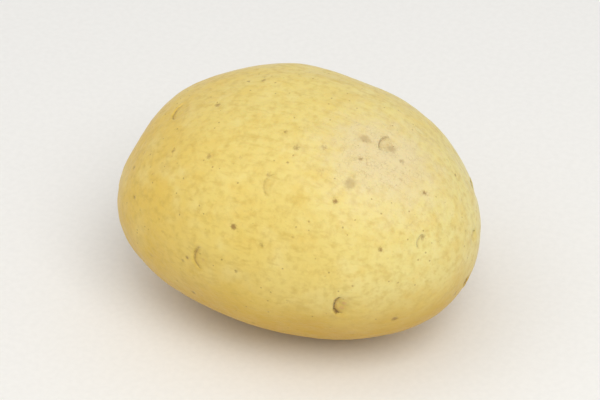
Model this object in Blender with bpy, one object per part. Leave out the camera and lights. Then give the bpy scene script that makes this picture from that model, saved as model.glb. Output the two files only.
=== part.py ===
"""A smooth yellow potato tuber, lying on the small flat spot that it rests on.

Run it with blender --background --python part.py, or from Blender's text editor.

Metres, +Z up. +X is the long axis and points to the rose end, where the buds crowd together. The stem
end, where the tuber hung on its runner, is at -X. The origin is on the surface that the potato stands
on, under the middle of its bounding box.

A place on the skin is given by its station, from -1 at the stem end to +1 at the rose end, and its
turn, in degrees round the long axis: 0 is up, 90 is the front (-Y), 180 is down and 270 is the back.
"""

import math

import bmesh
import bpy
from mathutils import Vector

MM = 0.001

# The ovoid that the tuber grows from.
LENGTH = 88 * MM
WIDTH = 66 * MM
THICKNESS = 58 * MM
FULLNESS = 2.15  # exponent of the superellipsoid: 2 is an ellipsoid, and more is squarer
ROSE_END_TAPER = 0.02  # share of its width that the tuber has lost at the rose end
SIDE_BEND = 1.4 * MM  # both tips lean this far to the front of the middle
DROOP = 2.2 * MM  # both tips lie this far below the middle
TWIST = math.radians(1.2)  # turn of the cross-section between the middle and a tip

# How much of the underside the flat spot takes away. No eye lies on it.
FLAT_DEPTH = 0.5 * MM

# Broad swellings and hollows: station, turn in degrees, height, spread in degrees.
SWELLINGS = (
    (-0.90, 0, -1.1 * MM, 28),
    (-0.90, 120, 0.7 * MM, 26),
    (-0.60, 325, 0.8 * MM, 24),
    (-0.45, 130, -1.0 * MM, 22),
    (-0.30, 240, 0.6 * MM, 20),
    (0.10, 136, 0.4 * MM, 26),
    (0.35, 250, -0.9 * MM, 24),
    (0.92, 170, 0.5 * MM, 26),
)

# The eyes wind round the tuber, each about 137 degrees back from the last, and close up towards the
# rose end: station, turn in degrees, width of the brow, depth of the hollow.
EYES = (
    (-0.64, 10, 6.5 * MM, 0.5 * MM),
    (-0.46, 235, 7.0 * MM, 0.8 * MM),
    (-0.26, 84, 8.0 * MM, 0.5 * MM),
    (-0.08, 310, 7.5 * MM, 0.7 * MM),
    (0.05, 43, 7.0 * MM, 0.3 * MM),
    (0.26, 262, 7.5 * MM, 0.8 * MM),
    (0.49, 95, 7.5 * MM, 1.0 * MM),
    (0.50, 4, 6.5 * MM, 0.5 * MM),
    (0.64, 215, 6.5 * MM, 0.8 * MM),
    (0.80, 48, 5.0 * MM, 0.4 * MM),
    (0.86, 300, 5.5 * MM, 0.7 * MM),
    (0.97, 165, 4.5 * MM, 0.7 * MM),
    (0.985, 350, 4.0 * MM, 0.6 * MM),
)
BROW_HEIGHT = 0.3  # of the hollow's depth
BROW_RADIUS = 0.45  # of the eye's width: the arc that the brow follows, on the stem side
BROW_THICKNESS = 0.13  # of the eye's width
HOLLOW_LENGTH = 0.30  # of the eye's width, along the tuber
HOLLOW_WIDTH = 0.42  # of the eye's width, round the tuber

# The dimple where the runner was attached.
STEM_SCAR = (-0.99, 60, 3.2 * MM, 1.0 * MM)  # station, turn in degrees, radius, depth

SPHERE_SUBDIVISIONS = 5
FINE_REACH = 0.75  # of an eye's width: how far the finer faces reach round it

SKIN_COLOUR = (0.80, 0.64, 0.26, 1.0)
SKIN_ROUGHNESS = 0.5

HALF_SIZES = Vector((LENGTH, WIDTH, THICKNESS)) / 2


def direction_of(station, turn):
    """The unit vector that points to a place on the skin."""
    angle = math.radians(turn)
    ring = math.sqrt(1 - station * station)
    return Vector((station, -ring * math.sin(angle), ring * math.cos(angle)))


def ovoid_point(direction):
    """The bent, tapered superellipsoid at a direction."""
    power_sum = sum(abs(part) ** FULLNESS for part in direction)
    unit = direction * power_sum ** (-1 / FULLNESS)
    station = unit.x
    across = HALF_SIZES.y * unit.y * (1 - ROSE_END_TAPER * station)
    up = HALF_SIZES.z * unit.z
    turn = TWIST * station
    lean = station * station
    return Vector(
        (
            HALF_SIZES.x * station,
            across * math.cos(turn) - up * math.sin(turn) - SIDE_BEND * lean,
            across * math.sin(turn) + up * math.cos(turn) - DROOP * lean,
        )
    )


def outward(direction):
    """The plain ellipsoid's outward normal, which swellings and eyes are raised along."""
    return Vector([part / half for part, half in zip(direction, HALF_SIZES)]).normalized()


def swelling_height(direction):
    """Sum of round swellings, each falling away from its own middle."""
    height = 0.0
    for station, turn, rise, spread in SWELLINGS:
        nearness = direction.dot(direction_of(station, turn)) - 1
        height += rise * math.exp(nearness / math.radians(spread) ** 2)
    return height


def body_point(direction):
    """The tuber's surface with its swellings, and no eyes yet."""
    return ovoid_point(direction) + outward(direction) * swelling_height(direction)


class SkinPlace:
    """A spot on the skin with its own small plane: along points to the rose end, round goes up the front."""

    def __init__(self, station, turn):
        direction = direction_of(station, turn)
        self.middle = body_point(direction)
        self.normal = outward(direction)
        long_axis = Vector((1, 0, 0))
        self.round = self.normal.cross(long_axis).normalized()
        self.along = self.round.cross(self.normal)

    def offsets(self, point):
        """How far a point is from the spot, along the tuber and round it."""
        gap = point - self.middle
        return gap.dot(self.along), gap.dot(self.round)

    def is_near(self, point, reach):
        return (point - self.middle).length < reach


class Eye(SkinPlace):
    """A hollow for the buds, with a raised brow curved round its stem side."""

    def __init__(self, station, turn, width, depth):
        super().__init__(station, turn)
        self.width = width
        self.depth = depth

    def height(self, point):
        if not self.is_near(point, 2 * self.width):
            return 0.0
        along, around = self.offsets(point)
        hollow = math.exp(
            -((along / (HOLLOW_LENGTH * self.width)) ** 2) - (around / (HOLLOW_WIDTH * self.width)) ** 2
        )
        from_arc = math.hypot(along, around) - BROW_RADIUS * self.width
        stem_side = 0.5 - 0.5 * math.tanh(4 * along / self.width)
        brow = stem_side * math.exp(-((from_arc / (BROW_THICKNESS * self.width)) ** 2))
        return self.depth * (BROW_HEIGHT * brow - hollow)


class Scar(SkinPlace):
    """The round dimple at the stem end."""

    def __init__(self, station, turn, radius, depth):
        super().__init__(station, turn)
        self.radius = radius
        self.depth = depth

    def height(self, point):
        if not self.is_near(point, 4 * self.radius):
            return 0.0
        along, around = self.offsets(point)
        return -self.depth * math.exp(-(along**2 + around**2) / self.radius**2)


def refine_near_eyes(sphere, eyes):
    """Halves the sphere's edges wherever an eye will be pressed into them."""
    near = [
        edge
        for edge in sphere.edges
        if any(
            eye.is_near(body_point(corner.co.normalized()), FINE_REACH * eye.width)
            for eye in eyes
            for corner in edge.verts
        )
    ]
    bmesh.ops.subdivide_edges(sphere, edges=near, cuts=1, use_grid_fill=True)
    bmesh.ops.triangulate(sphere, faces=sphere.faces)


def shape_tuber(sphere, places):
    """Moves each point of the sphere to its place on the skin."""
    for vertex in sphere.verts:
        direction = vertex.co.normalized()
        point = body_point(direction)
        relief = sum(place.height(point) for place in places)
        vertex.co = point + outward(direction) * relief


def flatten_foot(tuber):
    """Takes off the lowest sliver, which leaves the one flat face that the potato rests on."""
    lowest = min(vertex.co.z for vertex in tuber.verts)
    cut = bmesh.ops.bisect_plane(
        tuber,
        geom=tuber.verts[:] + tuber.edges[:] + tuber.faces[:],
        dist=1e-6,
        plane_co=(0, 0, lowest + FLAT_DEPTH),
        plane_no=(0, 0, 1),
        clear_inner=True,
    )
    rim = [part for part in cut["geom_cut"] if isinstance(part, bmesh.types.BMEdge)]
    bmesh.ops.contextual_create(tuber, geom=rim)


def stand_on_origin(tuber):
    """Puts the flat face at Z 0, with the bounding box centred over the origin."""
    points = [vertex.co for vertex in tuber.verts]
    middle = [(min(p[i] for p in points) + max(p[i] for p in points)) / 2 for i in (0, 1)]
    floor = min(p.z for p in points)
    bmesh.ops.translate(tuber, verts=tuber.verts, vec=(-middle[0], -middle[1], -floor))


def skin_material():
    material = bpy.data.materials.new("potato_skin")
    material.use_nodes = True
    shader = material.node_tree.nodes["Principled BSDF"]
    shader.inputs["Base Color"].default_value = SKIN_COLOUR
    shader.inputs["Roughness"].default_value = SKIN_ROUGHNESS
    shader.inputs["Metallic"].default_value = 0.0
    return material


def build_tuber():
    tuber = bmesh.new()
    bmesh.ops.create_icosphere(tuber, subdivisions=SPHERE_SUBDIVISIONS, radius=1.0)
    eyes = [Eye(*eye) for eye in EYES]
    refine_near_eyes(tuber, eyes)
    shape_tuber(tuber, [*eyes, Scar(*STEM_SCAR)])
    flatten_foot(tuber)
    stand_on_origin(tuber)
    bmesh.ops.recalc_face_normals(tuber, faces=tuber.faces)
    mesh = bpy.data.meshes.new("potato_tuber")
    tuber.to_mesh(mesh)
    tuber.free()
    mesh.shade_smooth()
    mesh.materials.append(skin_material())
    potato = bpy.data.objects.new("potato_tuber", mesh)
    bpy.context.scene.collection.objects.link(potato)
    return potato


def clear_scene():
    for old in list(bpy.data.objects):
        bpy.data.objects.remove(old, do_unlink=True)


clear_scene()
build_tuber()
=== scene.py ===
"""The finished look of a whole yellow potato, lying on a pale floor in soft studio light.

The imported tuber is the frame. The skin made here is a finer surface of the same form, fitted to the
tuber's box, and stands for that node. Metres, +Z up. +X is the long axis and points to the rose end,
where the buds crowd together, and the stem end is at -X.

A place on the skin is given by its station, from -1 at the stem end to +1 at the rose end, and its
turn, in degrees round the long axis: 0 is up, 90 is the front (-Y), 180 is down and 270 is the back.
"""

import logging
import math
from dataclasses import dataclass
from enum import Enum

import bpy
import numpy as np
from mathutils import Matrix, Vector


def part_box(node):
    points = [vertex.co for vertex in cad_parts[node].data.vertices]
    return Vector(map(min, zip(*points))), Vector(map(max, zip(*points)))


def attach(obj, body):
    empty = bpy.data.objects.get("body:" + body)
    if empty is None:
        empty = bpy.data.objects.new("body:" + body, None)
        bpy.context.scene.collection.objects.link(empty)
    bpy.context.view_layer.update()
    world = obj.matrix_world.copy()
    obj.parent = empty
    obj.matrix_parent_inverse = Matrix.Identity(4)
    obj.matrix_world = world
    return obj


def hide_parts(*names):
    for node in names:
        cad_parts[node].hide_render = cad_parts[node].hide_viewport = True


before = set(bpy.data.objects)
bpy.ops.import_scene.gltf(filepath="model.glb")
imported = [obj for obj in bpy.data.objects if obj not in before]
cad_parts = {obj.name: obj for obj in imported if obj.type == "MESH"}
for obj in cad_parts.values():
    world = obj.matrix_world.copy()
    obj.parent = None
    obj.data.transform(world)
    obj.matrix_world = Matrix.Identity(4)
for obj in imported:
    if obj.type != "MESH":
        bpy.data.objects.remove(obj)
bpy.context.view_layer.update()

MM = 0.001
Array = np.ndarray
Colour = tuple[int, int, int]  # red, green and blue as seen on a screen, 0 to 255
Socket = bpy.types.NodeSocket
Input = Socket | float | tuple[float, ...]
EVERYWHERE = slice(None)
EYE_PLANE = "eye_plane"  # where a point lies in the nearest eye: along, round and how strong the eye is


class Mark(Enum):
    """What a point of the skin can carry. Each is a number from 0 to 1 that the finish reads."""

    HOLLOW = "eye_hollow"
    BUD = "eye_bud"
    SPECK = "speck"
    SMUDGE = "smudge"
    SCUFF = "rubbed_spot"
    RUSSET = "russet_patch"
    SCAR = "stem_scar"
    FOOT = "flat_spot"


@dataclass(frozen=True)
class Place:
    """A place on the skin, by its station and its turn."""

    station: float
    turn: float

    def direction(self) -> Array:
        """The way to the place from the tuber's middle.

        Returns:
            The unit vector: (station, -ring sin turn, ring cos turn), where the squares of the station
            and the ring sum to 1.
        """
        angle = math.radians(self.turn)
        ring = math.sqrt(1 - self.station**2)
        return np.array((self.station, -ring * math.sin(angle), ring * math.cos(angle)))


@dataclass(frozen=True)
class Swelling:
    """A broad swelling of the body, or a hollow where its rise is negative."""

    place: Place
    rise: float
    spread: float  # degrees

    def height(self, directions: Array) -> Array:
        """The rise times e to the power (cosine of the angle from the middle, less 1) / spread squared.

        Args:
            directions: unit vectors, one a row.

        Returns:
            The height at each of them.
        """
        nearness = directions @ self.place.direction() - 1
        return self.rise * np.exp(nearness / math.radians(self.spread) ** 2)


@dataclass(frozen=True)
class SphereGrid:
    """A ball's surface as the six sides of a box of cells, so that it is closed and has no poles."""

    cells: tuple[int, int, int] = (160, 120, 104)  # along, across and up

    def side(self, axis: int, far: bool) -> tuple[Array, Array]:
        """One side of the box.

        Args:
            axis: the axis that the side faces along.
            far: whether it is the side at that axis's far end.

        Returns:
            The whole-number place of each crossing of the side's lines, and the four crossings at the
            corners of each cell, in the order that faces them outwards.
        """
        first, second = (axis + 1) % 3, (axis + 2) % 3
        rows, columns = self.cells[first] + 1, self.cells[second] + 1
        row, column = np.meshgrid(np.arange(rows), np.arange(columns), indexing="ij")
        crossings = np.zeros((rows, columns, 3), int)
        crossings[..., axis] = self.cells[axis] * far
        crossings[..., first] = row
        crossings[..., second] = column
        number = np.arange(rows * columns).reshape(rows, columns)
        corners = np.stack((number[:-1, :-1], number[1:, :-1], number[1:, 1:], number[:-1, 1:]), -1)
        return crossings.reshape(-1, 3), corners.reshape(-1, 4)[:, :: 1 if far else -1]

    def build(self) -> tuple[Array, Array]:
        """Joins the six sides and blows the box up to a ball.

        A crossing's three coordinates run from -1 to 1. Each becomes the tangent of an eighth of a turn
        times itself, which keeps the cells even, and the three together are scaled to a unit vector.

        Returns:
            The unit vectors, and four of their numbers for each cell.
        """
        points, quads, count = [], [], 0
        for axis in range(3):
            for far in (False, True):
                crossings, corners = self.side(axis, far)
                points.append(crossings)
                quads.append(corners + count)
                count += len(crossings)
        kept, number = np.unique(np.concatenate(points), axis=0, return_inverse=True)
        spread = np.tan(math.pi / 4 * (2 * kept / np.array(self.cells) - 1))
        directions = spread / np.linalg.norm(spread, axis=1, keepdims=True)
        return directions, number.ravel()[np.concatenate(quads)]


@dataclass(frozen=True)
class TuberForm:
    """The tuber's broad shape: a bent, tapered superellipsoid with swellings."""

    length: float = 88 * MM
    width: float = 66 * MM
    thickness: float = 58 * MM
    fullness: float = 2.15  # exponent of the superellipsoid: 2 is an ellipsoid, and more is squarer
    taper: float = 0.02  # share of its width that it has lost at the rose end
    side_bend: float = 1.4 * MM  # both tips lean this far to the front of the middle
    droop: float = 2.2 * MM  # both tips lie this far below the middle
    twist: float = math.radians(1.2)  # turn of the cross-section between the middle and a tip
    flat_depth: float = 0.5 * MM  # how much of the underside the flat spot takes away
    flat_rim: float = 0.25 * MM  # height over which the flat spot's edge is rounded
    swellings: tuple[Swelling, ...] = (
        Swelling(Place(-0.90, 0), -1.1 * MM, 28),
        Swelling(Place(-0.90, 120), 0.7 * MM, 26),
        Swelling(Place(-0.60, 325), 0.8 * MM, 24),
        Swelling(Place(-0.45, 130), -1.0 * MM, 22),
        Swelling(Place(-0.30, 240), 0.6 * MM, 20),
        Swelling(Place(0.10, 136), 0.4 * MM, 26),
        Swelling(Place(0.35, 250), -0.9 * MM, 24),
        Swelling(Place(0.92, 170), 0.5 * MM, 26),
    )

    def half_sizes(self) -> Array:
        """Half the length, width and thickness."""
        return np.array((self.length, self.width, self.thickness)) / 2

    def outward(self, directions: Array) -> Array:
        """The plain ellipsoid's outward normals: each direction over the half sizes, scaled to length 1.

        Args:
            directions: unit vectors, one a row.

        Returns:
            The normals, one a row.
        """
        normals = directions / self.half_sizes()
        return normals / np.linalg.norm(normals, axis=-1, keepdims=True)

    def body(self, directions: Array) -> Array:
        """The surface before any eye is pressed into it.

        A direction is scaled so that its parts, to the power of the fullness, sum to 1. The half sizes
        stretch it, and the taper narrows it. The cross-section then turns by the twist times the
        station, and shifts by the bend and the droop times the station squared. Last, each swelling
        raises it along the outward normal.

        Args:
            directions: unit vectors, one a row.

        Returns:
            The points, one a row.
        """
        power_sum = (np.abs(directions) ** self.fullness).sum(-1, keepdims=True)
        unit = directions * power_sum ** (-1 / self.fullness)
        half_length, half_width, half_thickness = self.half_sizes()
        station = unit[..., 0]
        across = half_width * unit[..., 1] * (1 - self.taper * station)
        up = half_thickness * unit[..., 2]
        turn = self.twist * station
        lean = station * station
        ovoid = np.stack(
            (
                half_length * station,
                across * np.cos(turn) - up * np.sin(turn) - self.side_bend * lean,
                across * np.sin(turn) + up * np.cos(turn) - self.droop * lean,
            ),
            -1,
        )
        height = sum(swelling.height(directions) for swelling in self.swellings)
        return ovoid + self.outward(directions) * height[..., None]

    def flatten(self, points: Array) -> tuple[Array, Array]:
        """Presses the underside flat, with a rounded edge.

        Where a point is more than the rim's height under the plane it goes onto the plane, and where it
        is more than that above it stays. Between the two, its height is blended by its share of the way
        up, with the rim's height times that share times the rest of it added, which is a smooth maximum.

        Args:
            points: the surface, one point a row.

        Returns:
            The flattened points, and how flat each one is, from 0 to 1.
        """
        plane = points[:, 2].min() + self.flat_depth
        share = np.clip(0.5 + 0.5 * (points[:, 2] - plane) / self.flat_rim, 0, 1)
        raised = points.copy()
        raised[:, 2] = plane * (1 - share) + points[:, 2] * share + self.flat_rim * share * (1 - share)
        return raised, 1 - share


class SkinSheet:
    """The skin while it is worked: its points, how far each is raised, and the marks that it carries."""

    def __init__(self, form: TuberForm, directions: Array) -> None:
        """Lays the smooth skin over the form.

        Args:
            form: the tuber's broad shape.
            directions: unit vectors, one for each point of the skin.
        """
        self.form = form
        self.points = form.body(directions)
        self.normals = form.outward(directions)
        self.relief = np.zeros(len(directions))
        self.marks = {mark: np.zeros(len(directions)) for mark in Mark}
        self.eye_plane = np.tile((9.0, 9.0, 0.0), (len(directions), 1))

    def raise_by(self, height: Array, where: Array | slice = EVERYWHERE) -> None:
        """Adds to the relief.

        Args:
            height: how much, in metres.
            where: the points that it is for.
        """
        self.relief[where] += height

    def stain(self, mark: Mark, strength: Array, where: Array | slice = EVERYWHERE) -> None:
        """Deepens a mark where it is fainter than the given strength.

        Args:
            mark: the mark.
            strength: how strong it should be, from 0 to 1.
            where: the points that it is for.
        """
        self.marks[mark][where] = np.maximum(self.marks[mark][where], strength)

    def raised(self) -> Array:
        """The points, moved along their normals by the relief."""
        return self.points + self.normals * self.relief[:, None]


class Spot:
    """A place on the skin with its own small plane: along points to the rose end, round up the front."""

    def __init__(self, form: TuberForm, place: Place) -> None:
        """Finds the plane that touches the form there.

        Args:
            form: the tuber's broad shape.
            place: where the plane's middle is.
        """
        direction = place.direction()
        self.middle = form.body(direction)
        self.normal = form.outward(direction)
        sideways = np.cross(self.normal, (1.0, 0.0, 0.0))
        self.round = sideways / np.linalg.norm(sideways)
        self.along = np.cross(self.round, self.normal)

    def offsets(self, points: Array) -> tuple[Array, Array, Array]:
        """How far points are from the middle.

        Args:
            points: one a row.

        Returns:
            The distance along the tuber, the distance round it, and the straight distance.
        """
        gap = points - self.middle
        return gap @ self.along, gap @ self.round, np.linalg.norm(gap, axis=1)


@dataclass(frozen=True)
class Eye:
    """A hollow for the buds, with a brow arched over its stem side and a crease tucked under the brow."""

    place: Place
    width: float
    depth: float
    buds: int = 1
    hollow_steep: float = 0.24  # of the width, along the tuber on the stem side
    hollow_shallow: float = 0.36  # of the width, along the tuber on the rose end's side
    hollow_width: float = 0.42  # of the width, round the tuber
    arch: float = 0.62  # the brow's reach along the tuber, of its reach round it
    brow_radius: float = 0.48  # of the width
    brow_thickness: float = 0.12  # of the width
    brow_height: float = 0.40  # of the depth
    crease_radius: float = 0.35  # of the width
    crease_thickness: float = 0.07  # of the width
    crease_depth: float = 0.40  # of the depth
    bud_radius: float = 0.09  # of the width
    bud_height: float = 0.45  # of the depth
    bud_spacing: float = 0.21  # of the width, round the tuber
    bud_forwards: float = 0.06  # of the width, from the middle to the rose end's side
    bud_scatter: float = 0.04  # of the width
    coarse_wander: float = 0.022  # of the width: how far the brow and the crease stray from their arch
    fine_wander: float = 0.012  # of the width: how far they stray in smaller waves
    fade: float = 5.0  # how sharply the brow ends beside the middle
    reach: float = 1.1  # of the width: how far from its middle the skin is worked
    full_depth: float = 0.9 * MM  # an eye this deep carries its marks at full strength
    line_power: float = 1.3  # over 1, it makes the lines of shallow eyes fainter than their depth

    def press_into(self, sheet: SkinSheet) -> None:
        """Presses the eye into the skin, marks its hollow and its buds, and lays its plane over them.

        The hollow is a bell curve, steep on the stem side and shallow towards the rose end. The brow
        and the crease are bell curves of the distance from an arched line, whose radius wanders with
        two sines of the angle, and a hyperbolic tangent fades them out on the side of the rose end.
        Each bud is a small round bell curve, on the rose end's side of the hollow's middle.

        Args:
            sheet: the skin.
        """
        along, around, distance = Spot(sheet.form, self.place).offsets(sheet.points)
        near = np.flatnonzero(distance < self.reach * self.width)
        along, around = along[near] / self.width, around[near] / self.width
        length = np.where(along < 0, self.hollow_steep, self.hollow_shallow)
        hollow = np.exp(-((along / length) ** 2) - (around / self.hollow_width) ** 2)
        angle = np.arctan2(around, along)
        phase = math.radians(self.place.turn) + 3 * self.place.station
        coarse = self.coarse_wander * np.sin(4 * angle + 5 * phase)
        fine = self.fine_wander * np.sin(9 * angle + 7 * phase)
        radius = np.hypot(along / self.arch, around) + coarse + fine
        fade = 0.5 - 0.5 * np.tanh(self.fade * along)
        brow = fade * np.exp(-(((radius - self.brow_radius) / self.brow_thickness) ** 2))
        thinning = 0.75 + 0.25 * np.sin(2 * angle + 4 * phase)
        crease = fade * thinning * np.exp(-(((radius - self.crease_radius) / self.crease_thickness) ** 2))
        bud = np.zeros(len(near))
        for number in range(self.buds):
            sideways = self.bud_spacing * (number - (self.buds - 1) / 2)
            forwards = self.bud_forwards + self.bud_scatter * math.cos(3 * number + phase)
            from_bud = np.hypot(along - forwards, around - sideways)
            bud = np.maximum(bud, np.exp(-((from_bud / self.bud_radius) ** 2)))
        height = self.brow_height * brow - hollow - self.crease_depth * crease + self.bud_height * bud
        sheet.raise_by(self.depth * height, near)
        strength = min(1.0, self.depth / self.full_depth)
        sheet.stain(Mark.HOLLOW, hollow * strength, near)
        sheet.stain(Mark.BUD, bud * strength, near)
        line_strength = np.full(len(near), strength**self.line_power)
        sheet.eye_plane[near] = np.stack((along, around, line_strength), 1)


@dataclass(frozen=True)
class StemScar:
    """The dimple where the runner broke off, with a low ring round it and a dry stub in its middle."""

    place: Place = Place(-0.99, 60)
    radius: float = 3.2 * MM
    depth: float = 1.0 * MM
    ring_height: float = 0.34  # of the depth
    stub_radius: float = 0.3  # of the radius
    stub_height: float = 0.55  # of the depth
    ring_radius: float = 1.25  # of the radius
    ring_thickness: float = 0.28  # of the radius
    reach: float = 4.0  # of the radius: how far from its middle the skin is worked

    def press_into(self, sheet: SkinSheet) -> None:
        """Presses the scar into the skin: bell curves for the dimple, the ring and the stub.

        The distance from the middle wanders with two sines of the angle, as torn skin does.

        Args:
            sheet: the skin.
        """
        along, around, distance = Spot(sheet.form, self.place).offsets(sheet.points)
        near = np.flatnonzero(distance < self.reach * self.radius)
        angle = np.arctan2(around[near], along[near])
        wander = 1 + 0.10 * np.sin(3 * angle + 0.6) + 0.06 * np.sin(7 * angle + 2.0)
        radius = distance[near] / self.radius * wander
        dimple = np.exp(-(radius**2))
        ring = np.exp(-(((radius - self.ring_radius) / self.ring_thickness) ** 2))
        stub = np.exp(-((radius / self.stub_radius) ** 4))
        sheet.raise_by(self.depth * (self.ring_height * ring - dimple + self.stub_height * stub), near)
        sheet.stain(Mark.SCAR, np.exp(-(radius**3)), near)


@dataclass(frozen=True)
class Ripples:
    """Gentle unevenness of one size all over the skin."""

    wavelength: float
    height: float
    seed: int
    waves: int = 36

    def press_into(self, sheet: SkinSheet) -> None:
        """Adds cosine waves of one wavelength, each with a direction and a phase drawn at random.

        Their sum is scaled so that its usual height is the given one.

        Args:
            sheet: the skin.
        """
        draw = np.random.default_rng(self.seed)
        headings = draw.normal(size=(3, self.waves))
        headings *= 2 * math.pi / self.wavelength / np.linalg.norm(headings, axis=0)
        phases = draw.uniform(0, 2 * math.pi, self.waves)
        waves = np.cos(sheet.points @ headings + phases).sum(1)
        sheet.raise_by(self.height * waves * math.sqrt(2 / self.waves))


@dataclass(frozen=True)
class Speck:
    """A breathing pore of the skin: a dot in a shallow pit with a low rim."""

    place: Place
    radius: float
    strength: float
    pit: float = 0.07 * MM
    rim_radius: float = 1.4  # of the radius
    rim_thickness: float = 0.45  # of the radius
    rim_height: float = 0.5  # of the pit's depth
    reach: float = 3.0  # of the radius: how far from its middle the skin is worked

    def press_into(self, sheet: SkinSheet) -> None:
        """Presses the pit, a bell curve, with a rim that is a bell curve of the distance from a circle.

        Args:
            sheet: the skin.
        """
        middle = sheet.form.body(self.place.direction())
        near = np.flatnonzero(np.abs(sheet.points - middle).max(1) < self.reach * self.radius)
        radius = np.linalg.norm(sheet.points[near] - middle, axis=1) / self.radius
        dot = np.exp(-(radius**2))
        rim = np.exp(-(((radius - self.rim_radius) / self.rim_thickness) ** 2))
        sheet.raise_by(self.strength * self.pit * (self.rim_height * rim - dot), near)
        sheet.stain(Mark.SPECK, self.strength * dot, near)


@dataclass(frozen=True)
class Specks:
    """The specks that show best, each in its place, and the many others strewn over the skin."""

    chosen: tuple[Speck, ...] = (
        Speck(Place(-0.09, 64), 0.70 * MM, 1.0),
        Speck(Place(0.38, 42), 0.65 * MM, 0.8),
        Speck(Place(-0.42, 9), 0.85 * MM, 0.65),
        Speck(Place(-0.32, 37), 0.85 * MM, 0.6),
        Speck(Place(0.11, 25), 0.85 * MM, 0.6),
        Speck(Place(0.24, 21), 0.80 * MM, 0.5),
        Speck(Place(0.80, 45), 0.85 * MM, 0.55),
        Speck(Place(0.75, 18), 0.70 * MM, 0.5),
        Speck(Place(0.72, 111), 0.90 * MM, 0.75),
        Speck(Place(0.02, 39), 0.70 * MM, 0.45),
        Speck(Place(-0.15, 35), 0.60 * MM, 0.4),
        Speck(Place(0.07, 69), 0.70 * MM, 0.5),
    )
    strewn: int = 300
    smallest: float = 0.40 * MM
    largest: float = 0.80 * MM
    faintest: float = 0.15
    strongest: float = 0.75
    tip: float = 0.98  # how near the tips they are strewn, as a station
    seed: int = 17

    def press_into(self, sheet: SkinSheet) -> None:
        """Presses the chosen specks, then the strewn ones, whose places are even over the ball.

        A strewn speck's radius runs from the smallest to the largest, with small ones far commoner, and
        its strength runs from the faintest to the strongest in the same way.

        Args:
            sheet: the skin.
        """
        for speck in self.chosen:
            speck.press_into(sheet)
        draw = np.random.default_rng(self.seed)
        for _ in range(self.strewn):
            place = Place(draw.uniform(-self.tip, self.tip), draw.uniform(0, 360))
            radius = self.smallest + (self.largest - self.smallest) * draw.uniform() ** 2
            strength = self.faintest + (self.strongest - self.faintest) * draw.uniform() ** 3
            Speck(place, radius, strength).press_into(sheet)


@dataclass(frozen=True)
class Patch:
    """A patch of one mark, soft at its edge, and raised or sunk a little."""

    mark: Mark
    place: Place
    along: float
    around: float
    strength: float = 1.0
    rise: float = 0.0
    reach: float = 3.0  # of its longer half: how far from its middle it is worked

    def press_into(self, sheet: SkinSheet) -> None:
        """Marks the skin with a bell curve, as long and as wide as the patch.

        Args:
            sheet: the skin.
        """
        along, around, distance = Spot(sheet.form, self.place).offsets(sheet.points)
        near = np.flatnonzero(distance < self.reach * max(self.along, self.around))
        curve = np.exp(-((along[near] / self.along) ** 2) - (around[near] / self.around) ** 2)
        sheet.stain(self.mark, self.strength * curve, near)
        sheet.raise_by(self.rise * curve, near)


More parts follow.
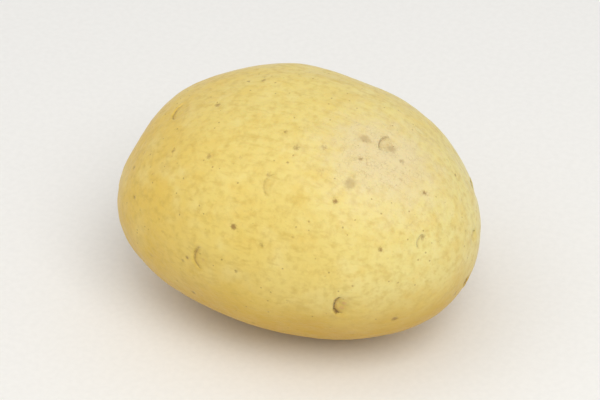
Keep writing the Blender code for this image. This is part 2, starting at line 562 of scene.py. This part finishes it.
class NodeBench:
    """A new material, and short ways to add nodes to it. Sizes are in metres on Object coordinates."""

    def __init__(self, name: str) -> None:
        """Makes the material and finds its shader.

        Args:
            name: the material's name.
        """
        self.material = bpy.data.materials.new(name)
        self.material.use_nodes = True
        self.tree = self.material.node_tree
        self.shader = self.tree.nodes["Principled BSDF"]
        self.place = self.tree.nodes.new("ShaderNodeTexCoord").outputs["Object"]

    def feed(self, socket: Socket, value: Input) -> None:
        """Links a socket to another, or sets its value.

        Args:
            socket: the input to feed.
            value: the socket that feeds it, or its value.
        """
        if isinstance(value, Socket):
            self.tree.links.new(value, socket)
        else:
            socket.default_value = value

    def add(self, kind: str, inputs: dict[str | int, Input], **settings: object) -> bpy.types.Node:
        """Adds a node.

        Args:
            kind: the node's type.
            inputs: for each input, the socket to link it to or the value to set.
            settings: the node's own properties.

        Returns:
            The node.
        """
        node = self.tree.nodes.new(kind)
        for name, value in settings.items():
            setattr(node, name, value)
        for name, value in inputs.items():
            self.feed(node.inputs[name], value)
        return node

    def mark(self, mark: Mark) -> Socket:
        """The strength of a mark at the point being shaded."""
        return self.add("ShaderNodeAttribute", {}, attribute_name=mark.value).outputs["Fac"]

    def cloud(self, size: float, detail: float = 2.0, **more: Input) -> Socket:
        """Cloudy noise, mostly from 0.3 to 0.7.

        Args:
            size: how wide its clouds are.
            detail: how many times finer clouds are added.
            more: other inputs of the node, by name.

        Returns:
            The noise.
        """
        inputs = {"Vector": self.place, "Scale": 1 / size, "Detail": detail, "Roughness": 0.55}
        return self.add("ShaderNodeTexNoise", inputs | more).outputs["Fac"]

    def warped(self, size: float, reach: float) -> Socket:
        """The place, pushed about by noise.

        Args:
            size: how wide the pushes are.
            reach: how far they go.

        Returns:
            The place plus the noise's three parts times the reach.
        """
        push = self.add("ShaderNodeTexNoise", {"Vector": self.place, "Scale": 1 / size, "Detail": 2.0})
        inputs = {0: push.outputs["Color"], 1: (reach,) * 3, 2: self.place}
        return self.add("ShaderNodeVectorMath", inputs, operation="MULTIPLY_ADD").outputs[0]

    def stretched(self, share: float) -> Socket:
        """The place, with its X part shrunk to a share, so that a pattern is drawn out along the tuber."""
        return self.add("ShaderNodeMapping", {"Vector": self.place, "Scale": (share, 1.0, 1.0)}).outputs[0]

    def cells(self, size: float, place: Input, feature: str = "F1") -> Socket:
        """Cells strewn at random.

        Args:
            size: how wide a cell is.
            place: the coordinates that they are on.
            feature: F1 measures from each cell's middle, and DISTANCE_TO_EDGE from its walls.

        Returns:
            The distance, as a share of the size.
        """
        inputs = {"Vector": place, "Scale": 1 / size}
        return self.add("ShaderNodeTexVoronoi", inputs, feature=feature).outputs["Distance"]

    def calc(self, operation: str, first: Input, second: Input = 0.0, third: Input = 0.0) -> Socket:
        """One number worked out from up to three, by the name of the operation."""
        inputs = {0: first, 1: second, 2: third}
        return self.add("ShaderNodeMath", inputs, operation=operation).outputs[0]

    def eased(
        self, value: Input, low: float, high: float, start: float = 0.0, end: float = 1.0
    ) -> Socket:
        """Eases a number from one range to another.

        Args:
            value: the number.
            low: what becomes the start.
            high: what becomes the end.
            start: the least that comes out, or the most where the end is less.
            end: the other limit.

        Returns:
            The eased number.
        """
        inputs = {"Value": value, "From Min": low, "From Max": high, "To Min": start, "To Max": end}
        return self.add("ShaderNodeMapRange", inputs, interpolation_type="SMOOTHSTEP").outputs["Result"]

    def ragged(self, value: Input, size: float, reach: float) -> Socket:
        """A number with noise on it, so that an edge drawn from it is ragged.

        Args:
            value: the number.
            size: how wide the noise's clouds are.
            reach: how far the noise moves the number, about half each way.

        Returns:
            The number plus twice the reach times the noise less a half.
        """
        noise = self.calc("SUBTRACT", self.cloud(size, 4.0), 0.5)
        return self.calc("MULTIPLY_ADD", noise, reach * 2, value)

    def blend(self, share: Input, under: Input, over: Input) -> Socket:
        """Lays one colour over another.

        Args:
            share: how much of the upper one there is, from 0 to 1.
            under: the colour underneath.
            over: the colour on top.

        Returns:
            The mixed colour.
        """
        inputs = {0: share, 6: under, 7: over}
        return self.add("ShaderNodeMix", inputs, data_type="RGBA").outputs[2]


def paint(colour: Colour) -> tuple[float, float, float, float]:
    """Turns a colour as seen on a screen into the linear one that a shader takes.

    Args:
        colour: red, green and blue, 0 to 255.

    Returns:
        The linear colour. A part c of it, as a share of 1, becomes ((c + 0.055) / 1.055) to the power
        of 2.4, or c / 12.92 where it is under 0.04045.
    """
    shares = [part / 255 for part in colour]
    linear = [((c + 0.055) / 1.055) ** 2.4 if c > 0.04045 else c / 12.92 for c in shares]
    return (*linear, 1.0)


class Tone(Enum):
    """The colours of the skin and of its marks."""

    GOLDEN = (227, 191, 82)
    STRAW = (231, 205, 110)
    CREAM = (234, 219, 142)
    # painted shade, laid over the lower part of the tuber
    PAINTED_UNDERSIDE_SHADE = (202, 158, 14)
    DULL = (197, 163, 66)
    RUSSET = (228, 210, 168)
    SPECK = (138, 98, 44)
    # the stem scar's dark core, and each eye's crease line: partly the crease's own brown, partly a
    # painted shadow
    CREASE = (118, 80, 34)
    BUD = (204, 160, 98)
    BARK = (150, 114, 66)
    # painted shade inside each eye's crease, and also the stem scar's own brown halo
    PAINTED_SHADE_AND_SCAR_BROWN = (176, 134, 58)
    FLESH = (240, 226, 158)


@dataclass(frozen=True)
class Layer:
    """A tone laid over the colour underneath. Each kind of layer has its own share."""

    tone: Tone

    def share(self, bench: NodeBench) -> Socket:
        """How much of the tone there is, from 0 to 1."""
        raise NotImplementedError

    def lay(self, bench: NodeBench, under: Input) -> Socket:
        """Lays the tone over a colour.

        Args:
            bench: the material being made.
            under: the colour underneath.

        Returns:
            The colour.
        """
        return bench.blend(self.share(bench), under, paint(self.tone.value))


@dataclass(frozen=True)
class Gradient(Layer):
    """A change of tone along one axis of the tuber, with a clouded edge."""

    axis: str
    start: float  # where the tone starts to show, in metres along the axis
    end: float  # where it is at its most
    most: float  # its share there
    cloud: float  # how wide the clouds in its edge are
    reach: float  # how far they move the edge, about half each way

    def share(self, bench: NodeBench) -> Socket:
        """Eased from 0 at the start to the most at the end.

        Args:
            bench: the material being made.

        Returns:
            The share.
        """
        axes = bench.add("ShaderNodeSeparateXYZ", {0: bench.place})
        ragged = bench.ragged(axes.outputs[self.axis], self.cloud, self.reach)
        return bench.eased(ragged, self.start, self.end, 0.0, self.most)


@dataclass(frozen=True)
class Clouding(Layer):
    """A tone in clouds."""

    size: float
    detail: float
    low: float  # the noise where the tone starts to show
    high: float  # the noise where it is at its most
    most: float  # its share there
    squeeze: float = 1.0  # share that lengths along the tuber shrink to before the noise is read

    def share(self, bench: NodeBench) -> Socket:
        """Eased from 0 where the noise is at its low to the most at its high.

        Args:
            bench: the material being made.

        Returns:
            The share.
        """
        clouds = bench.cloud(self.size, self.detail, Vector=bench.stretched(self.squeeze))
        return bench.eased(clouds, self.low, self.high, 0.0, self.most)


@dataclass(frozen=True)
class Coat(Layer):
    """A tone laid where a mark is strong, with a ragged edge."""

    mark: Mark
    grain: float  # how wide the noise on its edge is
    reach: float  # how far the noise moves the mark's strength, about half each way
    low: float  # the strength where the tone starts to show
    high: float  # the strength where it is at its most
    most: float  # its share there

    def share(self, bench: NodeBench) -> Socket:
        """Eased from 0 where the mark is at its low to the most at its high.

        Args:
            bench: the material being made.

        Returns:
            The share.
        """
        strength = bench.ragged(bench.mark(self.mark), self.grain, self.reach)
        return bench.eased(strength, self.low, self.high, 0.0, self.most)


@dataclass(frozen=True)
class PinDots(Layer):
    """Fine dots all over the skin, too small to be pressed into it."""

    spacing: float
    radius: float  # of the spacing
    solid: float  # of the spacing: the radius inside which a dot is at its most
    most: float
    bend: float  # how wide the bends in a dot's outline are
    bend_reach: float  # how far they go

    def share(self, bench: NodeBench) -> Socket:
        """Eased from 0 at a dot's radius to the most at its solid part.

        Args:
            bench: the material being made.

        Returns:
            The share.
        """
        cells = bench.cells(self.spacing, bench.warped(self.bend, self.bend_reach))
        return bench.eased(cells, self.radius, self.solid, 0.0, self.most)


@dataclass(frozen=True)
class CrackNet:
    """A broken net of hair cracks, strong in the russet patches and faint in clouds elsewhere."""

    cell: float = 0.85 * MM
    crack: float = 0.11  # of the cell: half a crack's width
    bend: float = 0.8 * MM  # how wide the bends in the cracks are
    bend_reach: float = 1.1 * MM  # how far they go
    in_russet: float = 0.8
    in_clouds: float = 0.35
    cloud: float = 11 * MM  # how wide the clouds are
    gap: float = 1.6 * MM  # how wide the gaps that break the net are

    def strength(self, bench: NodeBench, russet: Input) -> Socket:
        """How strong the cracks are, from 0 to 1.

        The walls of warped cells, times how russet or clouded the skin is, times a noise that breaks
        the walls up.

        Args:
            bench: the material being made.
            russet: how russet the skin is.

        Returns:
            The strength.
        """
        wall = bench.cells(self.cell, bench.warped(self.bend, self.bend_reach), "DISTANCE_TO_EDGE")
        elsewhere = bench.eased(bench.cloud(self.cloud, 3.0), 0.5, 0.72, 0.0, self.in_clouds)
        here = bench.calc("MULTIPLY_ADD", russet, self.in_russet, elsewhere)
        broken = bench.calc("MULTIPLY", here, bench.eased(bench.cloud(self.gap, 3.0), 0.42, 0.62))
        return bench.calc("MULTIPLY", bench.eased(wall, self.crack, 0.0), broken)


@dataclass(frozen=True)
class EyeLine:
    """A line curved round the stem side of each eye's middle, thick in the middle of its arch."""

    radius: float  # shares of the eye's width, these three
    thickness: float  # half of it, in the middle of the arch
    reach: float  # how far the line wanders
    cloud: float = 2.0 * MM  # how wide its wanderings are
    thin_end: float = 0.25  # share of its thickness that is left at the arch's ends
    thickest_at: float = -0.20  # places along the tuber, as shares of the eye's width, these four
    thinnest_at: float = 0.05
    strong_to: float = -0.12
    gone_by: float = 0.08

    def strength(self, bench: NodeBench) -> Socket:
        """How strong the line is, from 0 to 1.

        It is 1 where the eye's arched radius is the line's own, and eases to 0 over the thickness, which
        shrinks towards both ends of the arch. It fades out towards the rose end.

        Args:
            bench: the material being made.

        Returns:
            The strength.
        """
        plane = bench.add("ShaderNodeAttribute", {}, attribute_name=EYE_PLANE).outputs["Vector"]
        axes = bench.add("ShaderNodeSeparateXYZ", {0: plane})
        unarch = (1 / Eye.arch, 1.0, 0.0)
        flat = bench.add("ShaderNodeVectorMath", {0: plane, 1: unarch}, operation="MULTIPLY").outputs[0]
        from_middle = bench.add("ShaderNodeVectorMath", {0: flat}, operation="LENGTH").outputs["Value"]
        gap = bench.calc("SUBTRACT", bench.ragged(from_middle, self.cloud, self.reach), self.radius)
        thin = self.thin_end * self.thickness
        along, eye_strength = axes.outputs["X"], axes.outputs["Z"]
        taper = bench.eased(along, self.thinnest_at, self.thickest_at, thin, self.thickness)
        line = bench.eased(bench.calc("DIVIDE", bench.calc("ABSOLUTE", gap), taper), 1.0, 0.1)
        fade = bench.calc("MULTIPLY", bench.eased(along, self.gone_by, self.strong_to), eye_strength)
        return bench.calc("MULTIPLY", line, fade)


@dataclass(frozen=True)
class SkinFinish:
    """The potato's skin: golden at the stem end and creamy at the rose end, with a soft waxy shine, a
    painted highlight on top and painted shade below.
    """

    ground: Tone = Tone.GOLDEN
    layers: tuple[Layer, ...] = (
        Gradient(Tone.STRAW, "X", -37.4 * MM, -4.4 * MM, 1.0, 22 * MM, 24.2 * MM),
        Gradient(Tone.CREAM, "X", 0.0, 39.6 * MM, 1.0, 22 * MM, 24.2 * MM),
        # Paler cream towards the top: a painted highlight, the sky's reflection painted into the colour.
        Gradient(Tone.CREAM, "Z", 40 * MM, 60 * MM, 0.45, 12 * MM, 8 * MM),
        Clouding(Tone.FLESH, 8 * MM, 3.0, 0.48, 0.75, 0.35),
        Clouding(Tone.GOLDEN, 5.5 * MM, 4.0, 0.45, 0.72, 0.35),
        # Deeper ochre towards the bottom: painted shade on the underside, where the light falls off.
        Gradient(Tone.PAINTED_UNDERSIDE_SHADE, "Z", 35 * MM, 11 * MM, 0.95, 14 * MM, 8 * MM),
        Clouding(Tone.DULL, 1.8 * MM, 5.0, 0.42, 0.75, 0.4),
        Clouding(Tone.DULL, 1.1 * MM, 3.0, 0.52, 0.75, 0.3, 0.25),
    )
    russet: Coat = Coat(Tone.RUSSET, Mark.RUSSET, 2.5 * MM, 0.35, 0.1, 1.0, 0.75)
    net: CrackNet = CrackNet()
    net_share: float = 0.35
    dots: PinDots = PinDots(Tone.SPECK, 2.7 * MM, 0.105, 0.05, 0.5, 0.6 * MM, 0.3 * MM)
    coats: tuple[Layer, ...] = (
        Coat(Tone.DULL, Mark.FOOT, 2.0 * MM, 0.3, 0.3, 0.9, 0.35),
        Coat(Tone.DULL, Mark.HOLLOW, 1.2 * MM, 0.25, 0.15, 1.0, 0.5),
        Coat(Tone.BUD, Mark.BUD, 0.5 * MM, 0.2, 0.25, 0.8, 0.7),
        Coat(Tone.BARK, Mark.SMUDGE, 1.0 * MM, 0.5, 0.15, 0.9, 0.4),
        Coat(Tone.BARK, Mark.SCUFF, 1.1 * MM, 0.6, 0.20, 0.50, 0.20),
        Coat(Tone.FLESH, Mark.SCUFF, 1.1 * MM, 0.6, 0.30, 0.80, 0.65),
        Coat(Tone.SPECK, Mark.SPECK, 0.45 * MM, 0.35, 0.12, 0.75, 0.75),
        Coat(Tone.PAINTED_SHADE_AND_SCAR_BROWN, Mark.SCAR, 0.8 * MM, 0.20, 0.02, 0.7, 0.6),
        Coat(Tone.CREASE, Mark.SCAR, 0.5 * MM, 0.30, 0.70, 0.98, 0.75),
    )
    # each eye's crease line: partly the crease's own brown, partly a painted shadow under the brow
    crease_brown_and_shadow_line: EyeLine = EyeLine(Eye.crease_radius, 0.055, 0.10)
    # painted shade inside the arc of each eye's crease, where the brow would shadow the hollow
    crease_shade: EyeLine = EyeLine(0.8 * Eye.crease_radius, 0.17, 0.06)
    crease_groove: EyeLine = EyeLine(Eye.crease_radius, 0.07, 0.10)
    shade_share: float = 0.55
    roughness: float = 0.46
    sheen: float = 0.12
    sheen_roughness: float = 0.45
    refraction: float = 1.42
    scatter: float = 0.12
    scatter_depth: float = 1.5 * MM
    scatter_by_colour: tuple[float, float, float] = (1.0, 0.6, 0.25)

    def tones(self, bench: NodeBench) -> Socket:
        """Golden, straw and cream from stem end to rose end, a painted highlight on top, painted shade
        below, clouds, russet and dots.

        Args:
            bench: the material being made.

        Returns:
            The colour.
        """
        tone = paint(self.ground.value)
        for layer in (*self.layers, self.russet):
            tone = layer.lay(bench, tone)
        russet = bench.calc("DIVIDE", self.russet.share(bench), self.russet.most)
        cracks = bench.calc("MULTIPLY", self.net.strength(bench, russet), self.net_share)
        return self.dots.lay(bench, bench.blend(cracks, tone, paint(Tone.BARK.value)))

    def marks(self, bench: NodeBench, tone: Input) -> Socket:
        """The specks, smudges, rubbed spots, eyes and stem scar, each with a ragged edge, plus painted
        shade and a partly painted shadow line in each eye's crease.

        Args:
            bench: the material being made.
            tone: the colour underneath.

        Returns:
            The colour.
        """
        for coat in self.coats:
            tone = coat.lay(bench, tone)
        # Painted shade under each eye's crease, standing in for the brow's shadow.
        shade = bench.calc("MULTIPLY", self.crease_shade.strength(bench), self.shade_share)
        tone = bench.blend(shade, tone, paint(Tone.PAINTED_SHADE_AND_SCAR_BROWN.value))
        # The crease line: partly the crease's own brown, partly a painted shadow under the brow.
        broken = bench.eased(bench.cloud(0.7 * MM, 3.0), 0.36, 0.60, 0.1, 0.85)
        line = bench.calc("MULTIPLY", self.crease_brown_and_shadow_line.strength(bench), broken)
        return bench.blend(line, tone, paint(Tone.CREASE.value))

    def relief(self, bench: NodeBench) -> Socket:
        """The grain that is finer than the mesh: its height in millimetres.

        Args:
            bench: the material being made.

        Returns:
            The height: the sum of each pattern times how many millimetres it rises.
        """
        streaks = bench.cloud(1.2 * MM, 2.0, Vector=bench.stretched(0.25))
        torn = bench.calc("MULTIPLY", bench.mark(Mark.SCAR), bench.cloud(0.9 * MM, 3.0))
        parts = (
            (bench.cloud(0.5 * MM, 3.0), 0.05),
            (bench.cloud(2.2 * MM, 3.0), 0.22),
            (streaks, 0.09),
            (bench.mark(Mark.SPECK), -0.08),
            (bench.mark(Mark.SMUDGE), -0.10),
            (torn, -0.9),
            (self.crease_groove.strength(bench), -0.40),
            (self.net.strength(bench, bench.mark(Mark.RUSSET)), -0.03),
        )
        height = 0.0
        for part, rise in parts:
            height = bench.calc("MULTIPLY_ADD", part, rise, height)
        return height

    def surface_roughness(self, bench: NodeBench) -> Socket:
        """The roughness, a little uneven, and more in the stem scar.

        Args:
            bench: the material being made.

        Returns:
            The roughness.
        """
        smoothest, roughest = self.roughness - 0.06, self.roughness + 0.1
        patchy = bench.eased(bench.cloud(4 * MM, 4.0), 0.3, 0.7, smoothest, roughest)
        return bench.calc("MULTIPLY_ADD", bench.mark(Mark.SCAR), 0.3, patchy)

    def material(self) -> bpy.types.Material:
        """Makes the skin's material.

        Returns:
            The material.
        """
        bench = NodeBench("potato_skin")
        inputs = bench.shader.inputs
        bench.feed(inputs["Base Color"], self.marks(bench, self.tones(bench)))
        bench.feed(inputs["Roughness"], self.surface_roughness(bench))
        bump = bench.add("ShaderNodeBump", {"Height": self.relief(bench), "Distance": 1 * MM})
        bench.feed(inputs["Normal"], bump.outputs[0])
        inputs["IOR"].default_value = self.refraction
        inputs["Sheen Weight"].default_value = self.sheen
        inputs["Sheen Roughness"].default_value = self.sheen_roughness
        inputs["Subsurface Weight"].default_value = self.scatter
        inputs["Subsurface Scale"].default_value = self.scatter_depth
        inputs["Subsurface Radius"].default_value = self.scatter_by_colour
        return bench.material


@dataclass(frozen=True)
class FloorFinish:
    """Matt white board."""

    white: Colour = (244, 243, 240)

    def material(self) -> bpy.types.Material:
        """Makes the floor's material, with a faint paper grain.

        Returns:
            The material.
        """
        bench = NodeBench("white_board")
        fibre = bench.eased(bench.cloud(1.5 * MM, 4.0), 0.3, 0.7)
        darker = tuple(part - 3 for part in self.white)
        bench.feed(bench.shader.inputs["Base Color"], bench.blend(fibre, paint(self.white), paint(darker)))
        bench.shader.inputs["Roughness"].default_value = 0.8
        return bench.material


@dataclass(frozen=True)
class Potato:
    """The whole tuber as one closed skin."""

    form: TuberForm = TuberForm()
    grid: SphereGrid = SphereGrid()
    eyes: tuple[Eye, ...] = (
        Eye(Place(-0.64, 10), 6.5 * MM, 0.5 * MM),
        Eye(Place(-0.46, 235), 7.0 * MM, 0.8 * MM, 2),
        Eye(Place(-0.26, 84), 8.0 * MM, 0.5 * MM),
        Eye(Place(-0.08, 310), 7.5 * MM, 0.7 * MM, 3),
        Eye(Place(0.05, 43), 7.0 * MM, 0.3 * MM),
        Eye(Place(0.26, 262), 7.5 * MM, 0.8 * MM, 3),
        Eye(Place(0.49, 95), 7.5 * MM, 1.0 * MM, 2),
        Eye(Place(0.50, 4), 6.5 * MM, 0.5 * MM),
        Eye(Place(0.64, 215), 6.5 * MM, 0.8 * MM, 3),
        Eye(Place(0.80, 48), 5.0 * MM, 0.4 * MM),
        Eye(Place(0.86, 300), 5.5 * MM, 0.7 * MM, 2),
        Eye(Place(0.97, 165), 4.5 * MM, 0.7 * MM),
        Eye(Place(0.985, 350), 4.0 * MM, 0.6 * MM),
    )
    scar: StemScar = StemScar()
    ripples: tuple[Ripples, ...] = (
        Ripples(26 * MM, 0.20 * MM, 11),
        Ripples(10 * MM, 0.05 * MM, 2),
        Ripples(4.0 * MM, 0.014 * MM, 3),
    )
    specks: Specks = Specks()
    patches: tuple[Patch, ...] = (
        Patch(Mark.RUSSET, Place(0.52, 12), 17 * MM, 15 * MM, 0.9),
        Patch(Mark.SMUDGE, Place(0.40, 8), 1.6 * MM, 1.2 * MM),
        Patch(Mark.SMUDGE, Place(0.53, 5), 1.4 * MM, 1.1 * MM),
        Patch(Mark.SMUDGE, Place(0.42, 32), 1.4 * MM, 1.8 * MM),
        Patch(Mark.SCUFF, Place(0.59, 340), 2.0 * MM, 1.3 * MM, 0.8, -0.06 * MM),
        Patch(Mark.SCUFF, Place(-0.35, 275), 2.8 * MM, 1.7 * MM, 0.8, -0.06 * MM),
        Patch(Mark.SCUFF, Place(0.15, 205), 2.4 * MM, 2.0 * MM, 0.8, -0.06 * MM),
        Patch(Mark.RUSSET, Place(-0.2, 190), 14 * MM, 9 * MM, 0.5),
        Patch(Mark.RUSSET, Place(0.1, 285), 9 * MM, 12 * MM, 0.5),
    )
    finish: SkinFinish = SkinFinish()

    def fitted(self, points: Array) -> Array:
        """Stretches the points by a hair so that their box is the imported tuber's.

        Args:
            points: the finished surface, one point a row.

        Returns:
            The fitted points.
        """
        low, high = (np.array(corner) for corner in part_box("potato_tuber"))
        share = (points - points.min(0)) / np.ptp(points, axis=0)
        return low + share * (high - low)

    def build(self) -> bpy.types.Object:
        """Makes the skin's mesh: the form, raised by every feature, pressed flat and fitted.

        Returns:
            The potato.
        """
        directions, quads = self.grid.build()
        sheet = SkinSheet(self.form, directions)
        for feature in (*self.ripples, *self.eyes, self.scar, self.specks, *self.patches):
            feature.press_into(sheet)
        points, flatness = self.form.flatten(sheet.raised())
        sheet.stain(Mark.FOOT, flatness)
        mesh = bpy.data.meshes.new("potato")
        mesh.from_pydata(self.fitted(points), [], quads.tolist())
        for mark, strength in sheet.marks.items():
            layer = mesh.attributes.new(mark.value, "FLOAT", "POINT")
            layer.data.foreach_set("value", strength.astype(np.float32))
        plane = mesh.attributes.new(EYE_PLANE, "FLOAT_VECTOR", "POINT")
        plane.data.foreach_set("vector", sheet.eye_plane.astype(np.float32).ravel())
        mesh.shade_smooth()
        potato = bpy.data.objects.new("potato", mesh)
        bpy.context.scene.collection.objects.link(potato)
        return potato

    def dress(self, potato: bpy.types.Object) -> None:
        """Gives the potato its skin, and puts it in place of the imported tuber.

        Args:
            potato: the finished piece.
        """
        potato.data.materials.append(self.finish.material())
        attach(potato, "root")
        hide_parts("potato_tuber")


@dataclass(frozen=True)
class Softbox:
    """A square lamp behind a diffuser, aimed at the potato."""

    name: str
    azimuth: float  # degrees, as the camera's
    elevation: float  # degrees above the floor
    distance: float
    size: float
    power: float  # watts
    tint: tuple[float, float, float] = (1.0, 1.0, 1.0)


def bearing(azimuth: float, elevation: float) -> Vector:
    """The unit vector from the potato to something that looks at it.

    Args:
        azimuth: degrees round from the front, towards +X.
        elevation: degrees above the floor.

    Returns:
        The vector: (sin a cos e, -cos a cos e, sin e).
    """
    a, e = math.radians(azimuth), math.radians(elevation)
    return Vector((math.sin(a) * math.cos(e), -math.cos(a) * math.cos(e), math.sin(e)))


@dataclass(frozen=True)
class Studio:
    """The floor, the light and the camera."""

    floor_radius: float = 4.0
    floor_sides: int = 96
    sky: tuple[float, float, float, float] = (1.0, 1.0, 1.0, 1.0)
    sky_strength: float = 0.60
    softboxes: tuple[Softbox, ...] = (
        Softbox("key", 46, 56, 0.8, 0.5, 2.8, (1.0, 0.985, 0.96)),
        Softbox("overhead", 300, 62, 1.0, 0.9, 1.6),
    )
    azimuth: float = 22
    elevation: float = 38
    lens: float = 150  # millimetres, on a 36 mm sensor
    filled: float = 0.62  # share of the picture's width that the potato takes

    def lay_floor(self, height: float) -> None:
        """Lays a round floor: points round a circle, joined into one face.

        Args:
            height: its height.
        """
        angles = np.linspace(0, 2 * math.pi, self.floor_sides, endpoint=False)
        rim = np.stack((np.cos(angles), np.sin(angles), np.zeros(self.floor_sides)), 1) * self.floor_radius
        rim[:, 2] = height
        mesh = bpy.data.meshes.new("floor")
        mesh.from_pydata(rim, [], [list(range(self.floor_sides))])
        mesh.materials.append(FloorFinish().material())
        floor = bpy.data.objects.new("floor", mesh)
        bpy.context.scene.collection.objects.link(floor)

    def hang_lights(self, target: Vector) -> None:
        """Lights the sky evenly and hangs the softboxes.

        Args:
            target: what they are aimed at.
        """
        world = bpy.data.worlds.new("studio")
        world.use_nodes = True
        sky = world.node_tree.nodes["Background"]
        sky.inputs["Color"].default_value = self.sky
        sky.inputs["Strength"].default_value = self.sky_strength
        bpy.context.scene.world = world
        for softbox in self.softboxes:
            lamp = bpy.data.lights.new(softbox.name, "AREA")
            lamp.size = softbox.size
            lamp.energy = softbox.power
            lamp.color = softbox.tint
            hung = bpy.data.objects.new(softbox.name, lamp)
            back = bearing(softbox.azimuth, softbox.elevation)
            hung.location = target + back * softbox.distance
            hung.rotation_euler = back.to_track_quat("Z", "Y").to_euler()
            bpy.context.scene.collection.objects.link(hung)

    def set_camera(self, target: Vector, length: float) -> None:
        """Sets the camera so that the potato fills its share of the picture.

        Args:
            target: what it is aimed at.
            length: the potato's length.
        """
        data = bpy.data.cameras.new("camera")
        data.lens = self.lens
        camera = bpy.data.objects.new("camera", data)
        seen_width = length / self.filled
        back = bearing(self.azimuth, self.elevation)
        camera.location = target + back * (seen_width * self.lens / data.sensor_width)
        camera.rotation_euler = back.to_track_quat("Z", "Y").to_euler()
        data.clip_start = 10 * MM
        data.clip_end = 4 * self.floor_radius
        bpy.context.scene.collection.objects.link(camera)
        bpy.context.scene.camera = camera

    def open(self) -> None:
        """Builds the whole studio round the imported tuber."""
        low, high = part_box("potato_tuber")
        middle = (low + high) / 2
        self.lay_floor(low.z)
        self.hang_lights(middle)
        self.set_camera(middle, high.x - low.x)
        bpy.context.scene.view_settings.view_transform = "Standard"


def main() -> None:
    """Builds the potato and its studio, and logs the potato's face count."""
    logging.basicConfig(level=logging.INFO, format="%(message)s")
    log = logging.getLogger("potato")
    maker = Potato()
    potato = maker.build()
    maker.dress(potato)
    log.info("%s: %d faces", potato.name, len(potato.data.polygons))
    Studio().open()
    log.info("studio: floor, lights and camera")


if __name__ == "__main__":
    main()
